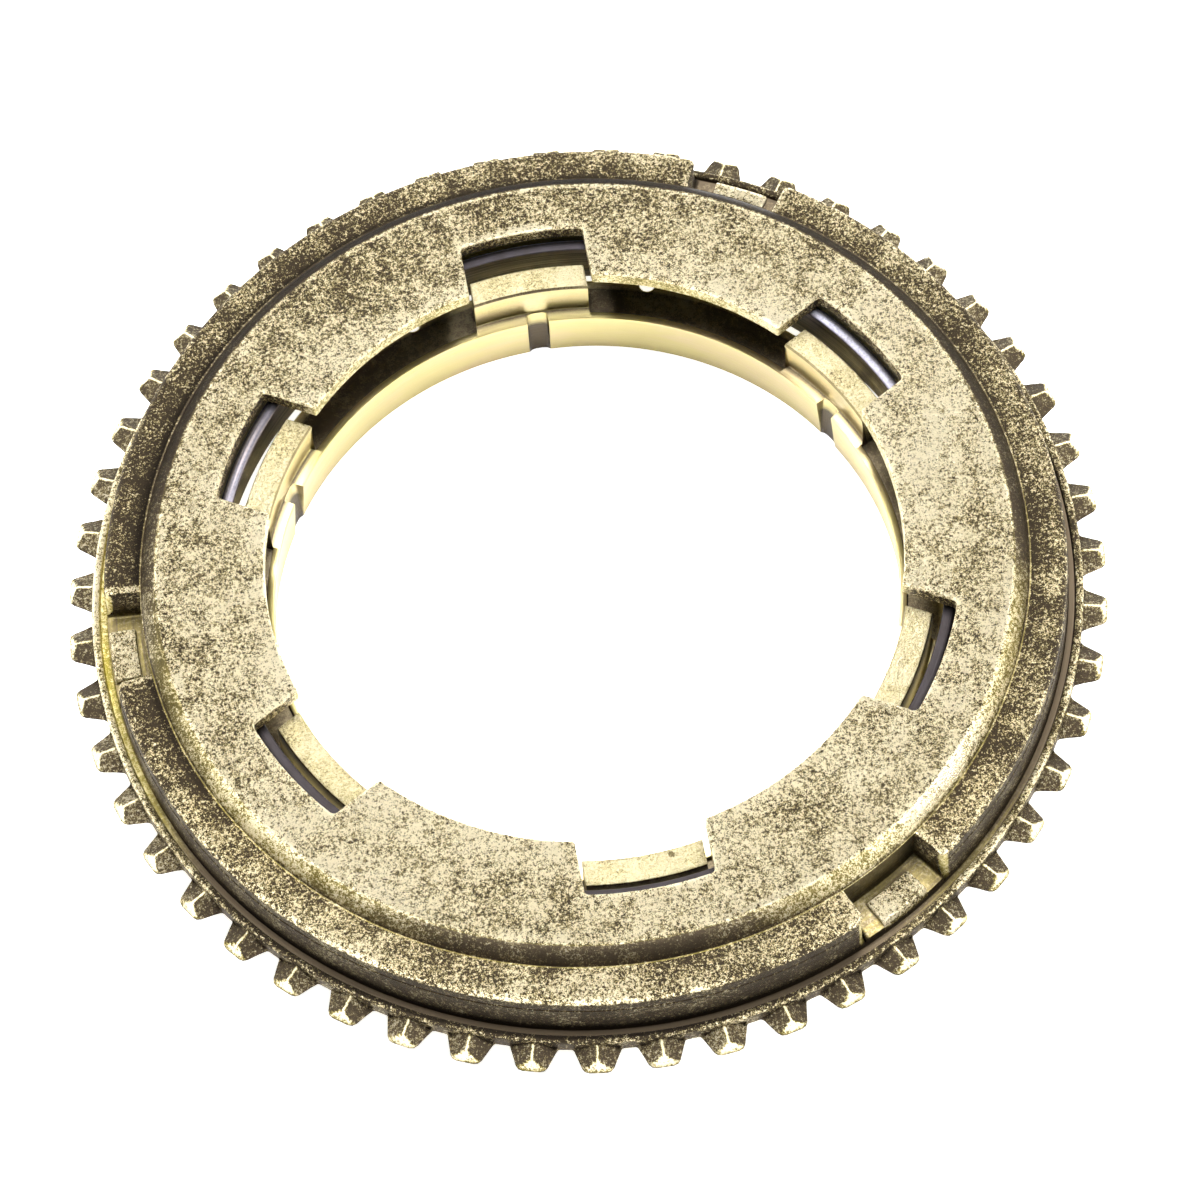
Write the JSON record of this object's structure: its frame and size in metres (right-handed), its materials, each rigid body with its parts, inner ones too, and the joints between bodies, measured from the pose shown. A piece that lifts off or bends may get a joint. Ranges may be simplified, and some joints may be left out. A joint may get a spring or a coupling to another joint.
{
  "type": "synchroniser ring pack",
  "caption": "Triple-cone gearbox synchroniser ring pack: a brass baulk ring with pointed spline teeth, a steel cone ring and a lugged inner brass cone ring.",
  "frame": {"origin": "on the common axis, in the plane that the pack stands on (the gear side)", "axes": "+Z along the axis towards the hub side; +Y through the middle of one lug notch; one strut slot centred on -X"},
  "size_m": [0.1152, 0.1152, 0.0168],
  "materials": {
    "cast_brass": "coarse as-cast brass, darkened, with machined edges",
    "cone_steel": "dark ground steel, satin",
    "machined_brass": "turned brass faces, finely cast lug tops"
  },
  "bodies": {
    "outer_ring": {"outer_baulk_ring": "cast_brass"},
    "intermediate_ring": {"intermediate_cone_ring": "cone_steel"},
    "inner_ring": {"inner_cone_ring": "machined_brass"}
  },
  "joints": [
    {"name": "intermediate_ring_spin", "type": "hinge", "parent": "outer_ring", "child": "intermediate_ring", "pos_m": [0, 0, 0], "axis": [0, 0, 1], "continuous": true},
    {"name": "inner_ring_slide", "type": "slide", "parent": "outer_ring", "child": "inner_ring", "axis": [0, 0, 1], "range_m": [0, 0.0035]}
  ]
}
